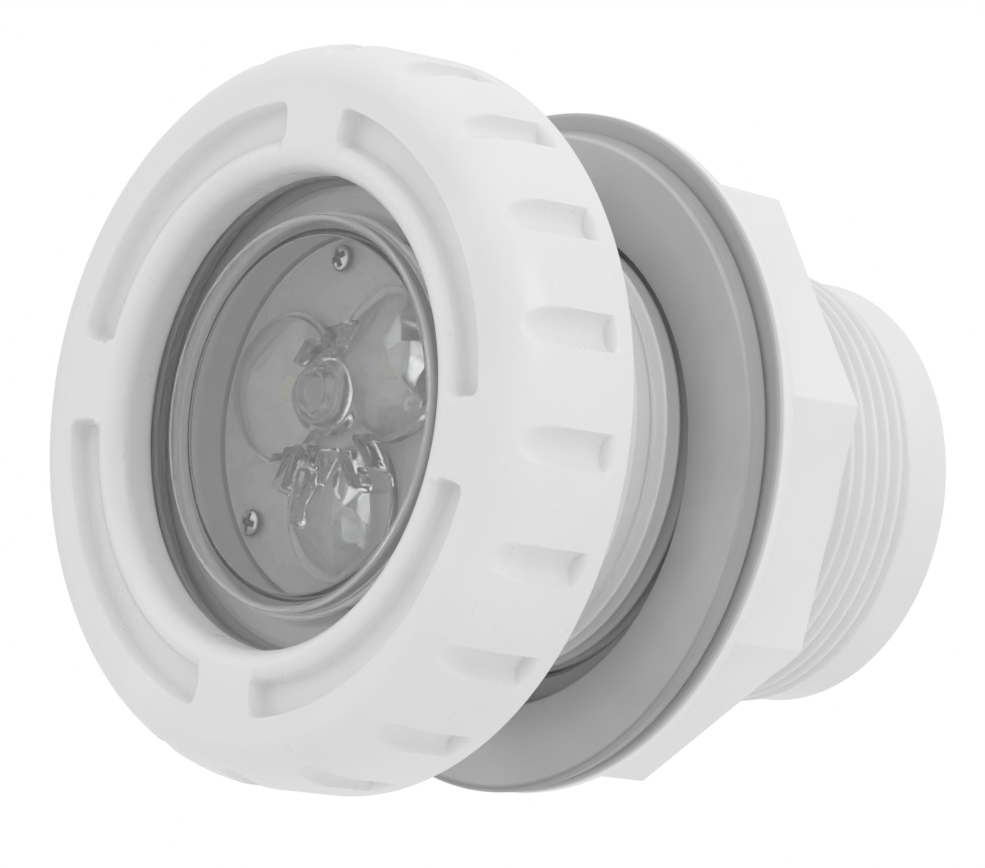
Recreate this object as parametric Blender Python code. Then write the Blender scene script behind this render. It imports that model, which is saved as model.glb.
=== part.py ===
"""Underwater pool light for a 2-inch through-wall fitting, as an assembly of separate pieces.

The light's axis is the world Y axis. The lamp faces -Y, the pipe end points to +Y, and +Z is up.
The origin is on the axis, in the plane of the pool wall's wet face, where the front gasket seals.
Profiles give (radius, depth) in millimetres, and depth is counted backwards from the face ring's front.
"""
import bpy
import bmesh
from math import asin, cos, pi, radians, sin, sqrt
from mathutils import Vector

MM = 0.001

# Driving dimensions, in millimetres and degrees
RING_LENGTH = 19.1
RING_RADIUS = 48.5
APERTURE_RADIUS = 31.0
FRONT_WALL = 6.5
FLUTE_COUNT = 20
FLUTE_TURN = 1.2             # angle of the first flute
FLUTE_RADIUS = 2.5
FLUTE_CENTRE = 49.0
FLUTE_END = 15.6
POCKET_COUNT = 4
POCKET_INNER = 34.9
POCKET_OUTER = 40.0
POCKET_DEPTH = 2.6
POCKET_SPAN = 73.5
FIRST_POCKET = 45.0          # angle of the first pocket's middle
WALL_DEPTH = 24.5            # front of the ring to the wet face of the pool wall
WALL_GAP = 19.6              # wall thickness that the nut is set to
GASKET_RADIUS = 44.2
GASKET_THICKNESS = 3.2
GASKET_BORE = 32.2
GASKET_DROP = 1.4            # the loose rear gasket hangs this much lower
FIT_GAP = 0.3                # between faces that touch
FLANGE_RADIUS = 41.6
RIM_RADIUS = 41.0
FLANGE_FRONT = 17.2
FLANGE_BACK = 21.2
HUB_RADIUS = 33.8            # stepped hub that fills the hole in the wall
HUB_END = 33.8
COLLAR_RADIUS = 30.4
COLLAR_END = 39.2
THREAD_CREST = 29.8          # 2-inch parallel pipe thread
THREAD_ROOT = 28.4
THREAD_PITCH = 2.309
THREAD_TURNS = 20
THREAD_SEGMENTS = 32
THREAD_START = COLLAR_END + FIT_GAP
THREAD_END = THREAD_START + THREAD_PITCH * (THREAD_TURNS + 1) + 0.6
SLEEVE_BORE = 28.0           # the thread is its own solid around the barrel
PIPE_RADIUS = 29.0
BARREL_BORE = 25.0
OVERALL_LENGTH = 96.6
NUT_BORE = 30.15
NUT_FLANGE_RADIUS = 45.6
NUT_FLANGE_THICKNESS = 2.6
NUT_CORNER_RADIUS = 43.2
NUT_SIDES = 8
NUT_PHASE = 16.6
NUT_END = 65.0
CHAMFER_SLOPE = 1.1          # radius lost per depth on the nut's front chamfer
LENS_FACE = 5.0
LENS_STEP_RADIUS = 26.0
CLAMP_RADIUS = 37.4          # lens rim, housing rim and their seals
PLATE_DEPTH = 15.3
PLATE_RADIUS = 24.4
CUP_BACK = 22.5
LEDGE_DEPTH = 16.4            # step in the housing that the plate screws go into
SCREW_CIRCLE = 21.6
LAMP_ANGLES = (45.0, 165.0, 285.0)
SCREW_ANGLES = (105.0, 225.0, 345.0)
LOBE_CIRCLE = 11.4
LOBE_RADIUS = 10.2
BOSS_RADIUS = 4.6
BOSS_HEIGHT = 3.0            # the boss stands this far above the light's axis
TAIL_RADIUS = 24.3
TAIL_BORE = 21.8
TAIL_END = 62.0
GLAND_BORE = 3.6
SEGMENTS = 40
FINE_SEGMENTS = 60
SMALL_SEGMENTS = 16


def clear_scene():
    for item in list(bpy.data.objects):
        bpy.data.objects.remove(item, do_unlink=True)


def material(name, colour, roughness, metallic=0.0, alpha=1.0, transmission=0.0):
    made = bpy.data.materials.new(name)
    made.use_nodes = True
    shader = made.node_tree.nodes["Principled BSDF"]
    shader.inputs["Base Color"].default_value = (*colour, 1.0)
    shader.inputs["Roughness"].default_value = roughness
    shader.inputs["Metallic"].default_value = metallic
    shader.inputs["Alpha"].default_value = alpha
    shader.inputs["Transmission Weight"].default_value = transmission
    return made


def white_plastic(name):
    return material(name, (0.84, 0.84, 0.84), 0.32)


def clear_plastic(name):
    return material(name, (0.95, 0.96, 0.97), 0.05, alpha=0.35, transmission=0.9)


def grey_rubber(name):
    return material(name, (0.42, 0.42, 0.42), 0.5)


def black_rubber(name):
    return material(name, (0.05, 0.05, 0.05), 0.6)


def grey_plastic(name):
    return material(name, (0.55, 0.55, 0.56), 0.45)


def metal(name, colour=(0.7, 0.7, 0.71), roughness=0.3):
    return material(name, colour, roughness, metallic=1.0)


def place_y(depth):
    """World Y in metres of a depth in millimetres."""
    return (depth - WALL_DEPTH) * MM


def on_circle(radius, degrees):
    """World X and Z in millimetres of a point on a circle about the axis."""
    return radius * cos(radians(degrees)), radius * sin(radians(degrees))


def add_object(name, bm, skin, parent, depth=0.0, at=(0.0, 0.0), sharp=35.0):
    """Closes the mesh's normals outwards and places the object on its own axis."""
    bmesh.ops.recalc_face_normals(bm, faces=bm.faces)
    mesh = bpy.data.meshes.new(name)
    bm.to_mesh(mesh)
    bm.free()
    mesh.materials.append(skin)
    mesh.shade_smooth()
    mesh.set_sharp_from_angle(angle=radians(sharp))
    made = bpy.data.objects.new(name, mesh)
    bpy.context.scene.collection.objects.link(made)
    made.location = Vector((at[0] * MM, place_y(depth), at[1] * MM))
    if parent is not None:
        made.parent = parent
        made.location -= parent.location
    return made


def add_empty(name, depth):
    made = bpy.data.objects.new(name, None)
    made.location = (0.0, place_y(depth), 0.0)
    bpy.context.scene.collection.objects.link(made)
    return made


def ring_of_vertices(bm, radius, depth, segments):
    if radius == 0:
        return [bm.verts.new((0.0, depth * MM, 0.0))] * segments
    step = 2 * pi / segments
    return [bm.verts.new((radius * MM * cos(i * step), depth * MM, radius * MM * sin(i * step)))
            for i in range(segments)]


def skin_strip(bm, first, second):
    """Faces between two rings of vertices; a ring on the axis is one repeated vertex."""
    count = len(first)
    for i in range(count):
        k = (i + 1) % count
        corners = []
        for vertex in (first[i], first[k], second[k], second[i]):
            if vertex not in corners:
                corners.append(vertex)
        if len(corners) > 2:
            bm.faces.new(corners)


def turned(name, profile, skin, parent, at=(0.0, 0.0), segments=SEGMENTS):
    """A closed profile of (radius, depth) turned about an axis parallel to Y."""
    base = min(depth for _, depth in profile)
    bm = bmesh.new()
    rings = [ring_of_vertices(bm, radius, depth - base, segments) for radius, depth in profile]
    for first, second in zip(rings, rings[1:] + rings[:1]):
        skin_strip(bm, first, second)
    return add_object(name, bm, skin, parent, base, at)


def prism(name, outline, front, back, skin, parent):
    """A flat outline of (x, z) in millimetres, extruded along the axis from front to back."""
    bm = bmesh.new()
    near = [bm.verts.new((x * MM, 0.0, z * MM)) for x, z in outline]
    far = [bm.verts.new((x * MM, (back - front) * MM, z * MM)) for x, z in outline]
    bm.faces.new(near)
    bm.faces.new(list(reversed(far)))
    skin_strip(bm, near, far)
    return add_object(name, bm, skin, parent, front)


def block(name, size, centre, skin, parent):
    """A plain box of size (x, y, z) about a centre (x, depth, z)."""
    bm = bmesh.new()
    bmesh.ops.create_cube(bm, size=1.0)
    bmesh.ops.scale(bm, vec=[side * MM for side in size], verts=bm.verts)
    return add_object(name, bm, skin, parent, centre[1], (centre[0], centre[2]))


def polygon(sides, corner_radius, phase):
    return [on_circle(corner_radius, phase + 360.0 * i / sides) for i in range(sides)]


def annulus(inner, outer, front, back):
    """Profile of a flat washer."""
    return [(inner, front), (outer, front), (outer, back), (inner, back)]


def quarter_arc(centre, radii, start, end, steps):
    """Points of an elliptical arc in the (radius, depth) plane, angles in degrees."""
    return [(centre[0] + radii[0] * cos(radians(start + (end - start) * i / steps)),
             centre[1] + radii[1] * sin(radians(start + (end - start) * i / steps)))
            for i in range(steps + 1)]


def as_helper(made):
    """Marks an object that only a Boolean uses."""
    made.hide_render = True
    made.display_type = "WIRE"
    return made


def boolean(target, other, operation):
    change = target.modifiers.new(other.name, "BOOLEAN")
    change.object = other
    change.operation = operation
    change.solver = "EXACT"


def rod_cutter(name, spots, radius, front, back, skin, segments=12):
    """One cutter holding a separate round bar at each (x, z) spot."""
    bm = bmesh.new()
    for x, z in spots:
        rings = [ring_of_vertices(bm, r, depth - front, segments)
                 for r, depth in ((0, front), (radius, front), (radius, back), (0, back))]
        for first, second in zip(rings, rings[1:]):
            skin_strip(bm, first, second)
        fresh = {vertex for ring in rings for vertex in ring}
        bmesh.ops.translate(bm, vec=(x * MM, 0.0, z * MM), verts=list(fresh))
    return as_helper(add_object(name, bm, skin, None, front))


def pocket_cutter(name, skin):
    """Four arc-shaped blocks that sink the pockets into the face ring, drafted towards the floor."""
    steps = 10
    bm = bmesh.new()
    sections = ((POCKET_INNER, POCKET_OUTER, -1.0), (POCKET_INNER, POCKET_OUTER, 0.0),
                (POCKET_INNER + 0.4, POCKET_OUTER - 0.4, POCKET_DEPTH))
    for pocket in range(POCKET_COUNT):
        middle = FIRST_POCKET + 360.0 * pocket / POCKET_COUNT
        levels = []
        for inner, outer, depth in sections:
            angles = [middle - POCKET_SPAN / 2 + POCKET_SPAN * i / steps for i in range(steps + 1)]
            spots = [on_circle(outer, angle) for angle in angles]
            spots += [on_circle(inner, angle) for angle in reversed(angles)]
            levels.append([bm.verts.new((x * MM, (depth + 1.0) * MM, z * MM)) for x, z in spots])
        bm.faces.new(levels[0])
        bm.faces.new(list(reversed(levels[-1])))
        for first, second in zip(levels, levels[1:]):
            skin_strip(bm, first, second)
    return as_helper(add_object(name, bm, skin, None, -1.0))


def make_trim_ring(parent):
    """Screw-on face ring: rounded lip, flat face, soft shoulder, finger flutes and pockets."""
    shoulder = quarter_arc((43.0, 9.0), (5.5, 9.0), 270, 360, 8)
    lip = quarter_arc((33.6, 3.0), (2.6, 3.0), 180, 270, 3)
    profile = lip + shoulder + [(RING_RADIUS, RING_LENGTH - 0.7), (RING_RADIUS - 0.7, RING_LENGTH),
                                (43.3, RING_LENGTH), (43.3, 16.8), (41.4, 16.8), (41.4, FRONT_WALL),
                                (APERTURE_RADIUS, FRONT_WALL)]
    skin = white_plastic("ring_white")
    ring = turned("trim_ring", profile, skin, parent, segments=FINE_SEGMENTS)
    spots = [on_circle(FLUTE_CENTRE, FLUTE_TURN + 360.0 * i / FLUTE_COUNT) for i in range(FLUTE_COUNT)]
    boolean(ring, rod_cutter("flute_cutter", spots, FLUTE_RADIUS, -2.0, FLUTE_END, skin), "DIFFERENCE")
    boolean(ring, pocket_cutter("face_pocket_cutter", skin), "DIFFERENCE")
    return ring


def make_slip_washer(parent):
    profile = annulus(32.0, CLAMP_RADIUS, FRONT_WALL + FIT_GAP, FRONT_WALL + 0.9)
    return turned("slip_washer", profile, white_plastic("washer_white"), parent)


def make_lens(parent):
    edge = quarter_arc((LENS_STEP_RADIUS - 1.2, LENS_FACE + 1.2), (1.2, 1.2), -90, 0, 3)
    profile = [(0, LENS_FACE)] + edge + [(LENS_STEP_RADIUS, 7.7), (CLAMP_RADIUS, 7.7),
                                         (CLAMP_RADIUS, 9.6), (24.0, 9.6), (23.4, 8.4), (0, 8.4)]
    return turned("lens", profile, clear_plastic("lens_clear"), parent)


def make_lamp_housing(parent):
    """Front cup that holds the plate and the lens, and the tube behind it."""
    seat = PLATE_RADIUS + 0.4
    profile = [(CLAMP_RADIUS, 11.7), (CLAMP_RADIUS, 14.0), (29.2, 14.0), (29.2, 18.5),
               (TAIL_RADIUS, 18.5), (TAIL_RADIUS, CUP_BACK), (18.9, CUP_BACK), (18.9, LEDGE_DEPTH),
               (seat, LEDGE_DEPTH), (seat, PLATE_DEPTH - 0.3), (27.2, 11.7)]
    skin = grey_plastic("housing_grey")
    housing = turned("lamp_housing", profile, skin, parent)
    spots = [on_circle(SCREW_CIRCLE, angle) for angle in SCREW_ANGLES]
    boolean(housing, rod_cutter("housing_hole_cutter", spots, 1.3, 15.5, 20.6, skin), "DIFFERENCE")
    turned("housing_tail", annulus(TAIL_BORE, TAIL_RADIUS, CUP_BACK + FIT_GAP, TAIL_END), skin, parent)
    return housing


def make_seals(parent):
    turned("lens_seal", annulus(32.4, CLAMP_RADIUS - 0.2, 9.9, 11.4),
           black_rubber("lens_seal_black"), parent)
    turned("housing_seal", annulus(31.0, CLAMP_RADIUS - 0.2, 14.3, 16.0),
           black_rubber("housing_seal_black"), parent)


def make_cover_plate(parent):
    profile = [(0, PLATE_DEPTH), (PLATE_RADIUS - 0.3, PLATE_DEPTH), (PLATE_RADIUS, PLATE_DEPTH + 0.3),
               (PLATE_RADIUS, PLATE_DEPTH + 0.8), (0, PLATE_DEPTH + 0.8)]
    skin = metal("plate_satin", (0.62, 0.62, 0.63), 0.4)
    plate = turned("cover_plate", profile, skin, parent)
    lamp_spots = [on_circle(LOBE_CIRCLE, angle) for angle in LAMP_ANGLES]
    screw_spots = [on_circle(SCREW_CIRCLE, angle) for angle in SCREW_ANGLES]
    boolean(plate, rod_cutter("lamp_hole_cutter", lamp_spots, 3.2, 14.0, 18.0, skin), "DIFFERENCE")
    boolean(plate, rod_cutter("screw_hole_cutter", screw_spots, 1.3, 14.0, 18.0, skin), "DIFFERENCE")
    return plate


def make_plate_screws(parent):
    """Small pan-head screws that hold the plate to the housing's ledge."""
    top = PLATE_DEPTH - FIT_GAP - 0.9
    profile = [(0, top), (1.1, top + 0.1), (1.8, top + 0.45), (1.8, top + 0.9), (0.95, top + 0.9),
               (0.95, 19.6), (0, 20.2)]
    skin = metal("screw_steel", roughness=0.25)
    for number, angle in enumerate(SCREW_ANGLES, start=1):
        spot = on_circle(SCREW_CIRCLE, angle)
        turned(f"plate_screw_{number}", profile, skin, parent, spot, SMALL_SEGMENTS)


def lobe_reach(degrees):
    """Outline radius of the three-lobe optic in one direction."""
    reach = BOSS_RADIUS
    for middle in LAMP_ANGLES:
        off = radians((degrees - middle + 180.0) % 360.0 - 180.0)
        if abs(off) < asin(LOBE_RADIUS / LOBE_CIRCLE):
            across = LOBE_CIRCLE * sin(off)
            reach = max(reach, LOBE_CIRCLE * cos(off) + sqrt(LOBE_RADIUS ** 2 - across ** 2))
    return reach


def make_triple_optic(parent):
    skin = clear_plastic("optic_clear")
    outline = [on_circle(lobe_reach(angle), angle) for angle in range(0, 360, 5)]
    optic = prism("triple_optic", outline, PLATE_DEPTH - 4.5, PLATE_DEPTH - 0.4, skin, parent)
    top = PLATE_DEPTH - 6.0
    rim = BOSS_RADIUS - 0.3
    profile = [(0, top), (3.2, top), (rim, top + 1.0), (rim, top + 3.0), (0, top + 3.0)]
    boss = turned("optic_boss_shape", profile, skin, parent, (0.0, BOSS_HEIGHT), SMALL_SEGMENTS)
    boolean(optic, as_helper(boss), "UNION")
    return optic


def make_leds(parent):
    profile = [(0, 15.2), (0.9, 15.3), (1.6, 15.7), (1.75, 15.9), (2.6, 15.9), (2.6, 16.2), (0, 16.2)]
    skin = material("led_amber", (0.85, 0.72, 0.25), 0.3)
    for number, angle in enumerate(LAMP_ANGLES, start=1):
        turned(f"led_{number}", profile, skin, parent, on_circle(LOBE_CIRCLE, angle), SMALL_SEGMENTS)
    board = [(0, 16.5), (18.4, 16.5), (18.4, 18.1), (0, 18.1)]
    turned("led_board", board, material("board_white", (0.8, 0.8, 0.78), 0.4), parent)


def make_heat_sink(parent):
    fins = []
    for number in range(3):
        front = 22.8 + 3.6 * number
        fins += [(21.2, front), (21.2, front + 1.6), (17.0, front + 1.6), (17.0, front + 3.6)]
    profile = [(0, 18.4), (18.2, 18.4), (18.2, 22.8)] + fins[:-2] + [(0, 31.6)]
    turned("heat_sink", profile, metal("sink_aluminium", (0.75, 0.75, 0.76), 0.45), parent, segments=24)


def stand_upright(item, centre, parent):
    """Turns a round piece's axis to the vertical and sets its foot at a centre (x, depth, z)."""
    item.rotation_euler = (radians(90), 0.0, 0.0)
    item.location = Vector((centre[0] * MM, place_y(centre[1]), centre[2] * MM)) - parent.location


def make_driver(parent):
    """Driver board that lies along the axis in the housing's tail, with its largest components."""
    green = material("board_green", (0.05, 0.25, 0.12), 0.5)
    black = material("chip_black", (0.03, 0.03, 0.03), 0.5)
    block("driver_board", (30.0, 20.0, 1.2), (0.0, 46.0, -6.0), green, parent)
    block("driver_chip", (8.0, 6.0, 1.8), (-9.0, 50.0, -4.2), black, parent)
    inductor = turned("driver_inductor", [(0, 0.0), (5.0, 0.0), (5.0, 6.0), (0, 6.0)],
                      material("coil_copper", (0.55, 0.28, 0.12), 0.4), parent, segments=SMALL_SEGMENTS)
    stand_upright(inductor, (6.0, 44.0, -5.1), parent)
    capacitor = turned("driver_capacitor", [(0, 0.0), (3.2, 0.0), (3.2, 9.0), (0, 9.0)],
                       material("can_blue", (0.08, 0.12, 0.3), 0.4), parent, segments=SMALL_SEGMENTS)
    stand_upright(capacitor, (-6.0, 41.0, -5.1), parent)


def make_tail(parent):
    """Rear cap of the lamp housing with its seal."""
    turned("rear_cap_seal", annulus(21.9, TAIL_RADIUS - 0.2, 62.3, 63.3),
           black_rubber("cap_seal_black"), parent)
    profile = [(21.3, 59.0), (21.3, 63.6), (TAIL_RADIUS, 63.6), (TAIL_RADIUS, 66.3), (23.1, 67.5),
               (6.2, 67.5), (6.2, 59.0)]
    turned("rear_cap", profile, grey_plastic("cap_grey"), parent)


def make_gland(body_parent, nut_parent):
    """Cable gland: threaded body, rubber bush and cap nut."""
    skin = grey_plastic("gland_grey")
    body = turned("gland_body", [(5.8, 60.0), (5.8, 69.0), (7.0, 69.0), (7.0, 77.0), (GLAND_BORE, 77.0),
                                 (GLAND_BORE, 60.0)], skin, body_parent, segments=24)
    hexagon = prism("gland_hex_shape", polygon(6, 10.0, 0.0), 67.8, 71.6, skin, body_parent)
    boolean(body, as_helper(hexagon), "UNION")
    bore = rod_cutter("gland_bore_cutter", [(0.0, 0.0)], GLAND_BORE, 55.0, 80.0, skin, segments=24)
    boolean(body, bore, "DIFFERENCE")
    turned("gland_bush", [(GLAND_BORE, 77.3), (6.6, 77.3), (6.2, 80.0), (GLAND_BORE, 80.0)],
           black_rubber("bush_black"), nut_parent, segments=24)
    nut = prism("gland_nut", polygon(6, 10.0, 30.0), 72.0, 82.0, skin, nut_parent)
    profile = [(0, 71.0), (7.4, 71.0), (7.4, 80.3), (4.2, 80.4), (4.2, 83.0), (0, 83.0)]
    hollow = turned("gland_hollow_cutter", profile, skin, nut_parent, segments=24)
    boolean(nut, as_helper(hollow), "DIFFERENCE")


def make_wall_fitting(parent):
    """Front of the fitting: threaded rim, flange, stepped hub and the seat for the lamp housing."""
    bore = SLEEVE_BORE
    profile = [(38.0, 8.2), (RIM_RADIUS, 8.2), (RIM_RADIUS, FLANGE_FRONT), (FLANGE_RADIUS, FLANGE_FRONT),
               (FLANGE_RADIUS, FLANGE_BACK), (HUB_RADIUS, FLANGE_BACK), (HUB_RADIUS, HUB_END),
               (COLLAR_RADIUS, HUB_END), (COLLAR_RADIUS, COLLAR_END), (bore, COLLAR_END), (bore, 18.9),
               (29.8, 18.9), (29.8, 16.3), (38.0, 16.3)]
    return turned("wall_fitting", profile, white_plastic("fitting_white"), parent)


def make_fitting_barrel(parent):
    """Plain tube that the thread is moulded on, open from end to end."""
    outer = SLEEVE_BORE - FIT_GAP
    end = OVERALL_LENGTH
    profile = [(BARREL_BORE, 18.9), (outer, 18.9), (outer, end), (BARREL_BORE + 0.6, end),
               (BARREL_BORE, end - 0.6)]
    return turned("fitting_barrel", profile, white_plastic("barrel_white"), parent)


def make_barrel_thread(parent):
    """Skin of the barrel: a helical V thread, then the plain end that takes a pipe.

    Rows alternate between root and crest and climb one pitch a turn, so a row's end is the start of
    the row two further on. The two ends of the thread close with a flat step.
    """
    count = THREAD_SEGMENTS
    step = 2 * pi / count
    bm = bmesh.new()

    def thread_vertex(row, place):
        radius = (THREAD_CREST if row % 2 else THREAD_ROOT) * MM
        depth = (0.3 + THREAD_PITCH * (row / 2 + place / count)) * MM
        return bm.verts.new((radius * cos(place * step), depth, radius * sin(place * step)))

    stop = THREAD_END - THREAD_START
    end = OVERALL_LENGTH - THREAD_START
    thread_start = ring_of_vertices(bm, THREAD_ROOT - 0.2, 0.0, count)
    thread_stop = ring_of_vertices(bm, THREAD_ROOT - 0.2, stop, count)
    rings = [thread_stop]
    for radius, depth in ((PIPE_RADIUS, stop + 0.3), (PIPE_RADIUS, end - 0.6), (PIPE_RADIUS - 0.6, end),
                          (SLEEVE_BORE, end), (SLEEVE_BORE, 0.0)):
        rings.append(ring_of_vertices(bm, radius, depth, count))
    rings.append(thread_start)
    rows = range(2 * THREAD_TURNS + 1)
    grid = [[thread_vertex(row, place) for place in range(count)] for row in rows]
    first_places = [row[0] for row in grid]
    first_places += [thread_vertex(2 * THREAD_TURNS + 1, 0), thread_vertex(2 * THREAD_TURNS + 2, 0)]
    for row, line in enumerate(grid):
        line.append(first_places[row + 2])
    for near, far in zip(grid, grid[1:]):
        for i in range(count):
            bm.faces.new((near[i], near[i + 1], far[i + 1], far[i]))
    closed_start = thread_start + thread_start[:1]
    closed_stop = thread_stop + thread_stop[:1]
    for i in range(count):
        bm.faces.new((closed_start[i], closed_start[i + 1], grid[0][i + 1], grid[0][i]))
        bm.faces.new((grid[-1][i], grid[-1][i + 1], closed_stop[i + 1], closed_stop[i]))
    bm.faces.new((thread_start[0], *first_places[:3]))
    bm.faces.new((*first_places[-3:], thread_stop[0]))
    for first, second in zip(rings, rings[1:]):
        skin_strip(bm, first, second)
    return add_object("barrel_thread", bm, white_plastic("thread_white"), parent, THREAD_START)


def make_front_gasket(parent):
    """Flat washer between the flange and the wet face of the wall."""
    profile = annulus(HUB_RADIUS + 0.4, FLANGE_RADIUS, FLANGE_BACK + FIT_GAP, WALL_DEPTH)
    return turned("front_gasket", profile, grey_rubber("front_gasket_grey"), parent)


def make_rear_gasket(parent):
    """Soft washer with a rounded rim, hanging a little low on the barrel."""
    front = WALL_DEPTH + WALL_GAP
    back = front + GASKET_THICKNESS
    rim_centre = (GASKET_RADIUS - 0.9, (front + back) / 2)
    round_rim = quarter_arc(rim_centre, (0.9, GASKET_THICKNESS / 2), -90, 90, 4)
    profile = [(GASKET_BORE, front)] + round_rim + [(GASKET_BORE, back)]
    gasket = turned("rear_gasket", profile, grey_rubber("rear_gasket_grey"), parent)
    gasket.location.z -= GASKET_DROP * MM
    return gasket


def make_lock_nut(parent):
    """Eight-sided nut that grows out of a round flange through a cone."""
    front = WALL_DEPTH + WALL_GAP + GASKET_THICKNESS + FIT_GAP
    neck = 39.0
    cone_start = front + NUT_FLANGE_THICKNESS
    cone_end = cone_start + (NUT_FLANGE_RADIUS - neck) / CHAMFER_SLOPE
    skin = white_plastic("nut_white")
    outline = polygon(NUT_SIDES, NUT_CORNER_RADIUS, NUT_PHASE)
    nut = prism("lock_nut", outline, front + 1.0, NUT_END, skin, parent)
    profile = [(0, front), (NUT_FLANGE_RADIUS - 0.5, front), (NUT_FLANGE_RADIUS, front + 0.5),
               (NUT_FLANGE_RADIUS, cone_start), (neck, cone_end), (0, cone_end)]
    flange = turned("nut_flange_shape", profile, skin, parent)
    boolean(nut, as_helper(flange), "UNION")
    ends = (front - 5.0, NUT_END + 5.0)
    bore = rod_cutter("nut_bore_cutter", [(0.0, 0.0)], NUT_BORE, *ends, skin, SEGMENTS)
    boolean(nut, bore, "DIFFERENCE")
    return nut


def build():
    clear_scene()
    ring_axis = add_empty("ring_axis", RING_LENGTH / 2)
    lamp_unit = add_empty("lamp_unit", PLATE_DEPTH)
    gland_axis = add_empty("gland_axis", 77.0)
    fitting_axis = add_empty("fitting_axis", WALL_DEPTH)
    nut_axis = add_empty("nut_axis", WALL_DEPTH + WALL_GAP)
    make_trim_ring(ring_axis)
    make_slip_washer(ring_axis)
    make_lens(lamp_unit)
    make_lamp_housing(lamp_unit)
    make_seals(lamp_unit)
    make_cover_plate(lamp_unit)
    make_plate_screws(lamp_unit)
    make_triple_optic(lamp_unit)
    make_leds(lamp_unit)
    make_heat_sink(lamp_unit)
    make_driver(lamp_unit)
    make_tail(lamp_unit)
    make_gland(lamp_unit, gland_axis)
    make_wall_fitting(fitting_axis)
    make_fitting_barrel(fitting_axis)
    make_barrel_thread(fitting_axis)
    make_front_gasket(fitting_axis)
    make_rear_gasket(nut_axis)
    make_lock_nut(nut_axis)


build()
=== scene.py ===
"""Looks of the underwater pool light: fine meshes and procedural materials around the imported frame.

Shapes are in millimetres as (radius, depth), where depth is counted backwards along the light's axis
from the front of the face ring. The axis is the world Y axis, and the lens faces -Y.
"""
from math import acos, atan, ceil, cos, degrees, pi, radians, sin, tan

import bmesh
import bpy
import numpy as np
from mathutils import Matrix, Vector


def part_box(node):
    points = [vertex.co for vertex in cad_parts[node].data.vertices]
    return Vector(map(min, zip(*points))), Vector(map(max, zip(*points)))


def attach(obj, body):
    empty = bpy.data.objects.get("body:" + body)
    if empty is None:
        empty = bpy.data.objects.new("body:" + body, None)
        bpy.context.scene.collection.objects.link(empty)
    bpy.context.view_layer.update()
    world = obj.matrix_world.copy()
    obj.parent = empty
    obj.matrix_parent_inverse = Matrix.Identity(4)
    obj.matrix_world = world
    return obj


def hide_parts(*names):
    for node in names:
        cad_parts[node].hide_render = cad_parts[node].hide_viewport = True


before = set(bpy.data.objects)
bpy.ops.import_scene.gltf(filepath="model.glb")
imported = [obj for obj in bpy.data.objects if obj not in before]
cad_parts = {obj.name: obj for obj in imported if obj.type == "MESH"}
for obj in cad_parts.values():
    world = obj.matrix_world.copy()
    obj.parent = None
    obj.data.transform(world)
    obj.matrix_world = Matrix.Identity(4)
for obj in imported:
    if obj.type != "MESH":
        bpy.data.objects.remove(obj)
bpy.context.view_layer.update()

MM = 0.001
FRONT_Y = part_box("trim_ring")[0].y


def depth_of(node, end):
    """Depth in millimetres of a CAD node's front (end 0) or back (end 1)."""
    return (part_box(node)[end].y - FRONT_Y) / MM


# Sizes that the frame gives
RING_LENGTH = depth_of("trim_ring", 1)
RING_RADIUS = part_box("trim_ring")[1].x / MM
OVERALL_LENGTH = depth_of("fitting_barrel", 1)
NUT_FRONT = depth_of("lock_nut", 0)
NUT_END = depth_of("lock_nut", 1)
NUT_FLANGE_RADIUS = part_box("lock_nut")[1].x / MM
GASKET_FRONT = depth_of("rear_gasket", 0)
GASKET_BACK = depth_of("rear_gasket", 1)
GASKET_DROP = -(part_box("rear_gasket")[0].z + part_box("rear_gasket")[1].z) / 2 / MM
GASKET_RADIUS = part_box("rear_gasket")[1].x / MM
PLATE_DEPTH = depth_of("cover_plate", 0)
OPTIC_BACK = depth_of("triple_optic", 1)

# Shapes below are in millimetres, and angles in degrees about the axis

# Face ring
FACE_INNER = 33.6            # radii where the face turns into the lip and into the shoulder
FACE_OUTER = 43.0
FLUTE_COUNT = 20
FLUTE_TURN = 1.2             # angle of the first flute
FLUTE_CENTRE = 49.0
FLUTE_RADIUS = 2.5
FLUTE_END = 15.6
FLUTE_HALF_ANGLE = 3.9       # how far the close columns reach on each side of a flute's middle
FIRST_POCKET = 45.0
POCKET_SPAN = 73.5
POCKET_INNER = 34.9
POCKET_OUTER = 40.0
POCKET_DEPTH = 2.6
POCKET_CORNER = 1.3

# Wall fitting
RIM_RADIUS = 41.0
FLANGE_RADIUS = 41.6
FLANGE_FRONT = 17.2
FLANGE_BACK = 21.2
HUB_RADIUS = 33.8
HUB_END = 33.8
COLLAR_RADIUS = 30.4
COLLAR_END = 39.2
THREAD_CREST = 29.8
THREAD_ROOT = 28.45
THREAD_PITCH = 2.309
THREAD_END = 89.2
PLAIN_RADIUS = 29.0          # pipe end, and the barrel before its thread is cut
BARREL_BORE = 25.0
SEAT_BORE = 29.8             # recess that the lamp housing sits in
SEAT_FRONT = 16.3
SEAT_BACK = 18.9

# Nut and its gasket
NUT_SIDES = 8
NUT_BORE = 30.15
NUT_CORNER_RADIUS = 43.2
NUT_PHASE = 16.6             # angle of the nut's first corner
NUT_FLANGE_THICKNESS = 2.6
NUT_CONE_SLOPE = 1.1         # radius lost per depth behind the nut's flange
GASKET_BORE = 32.6
GASKET_SAG = 0.5             # how much further its front edge hangs than its middle

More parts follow.
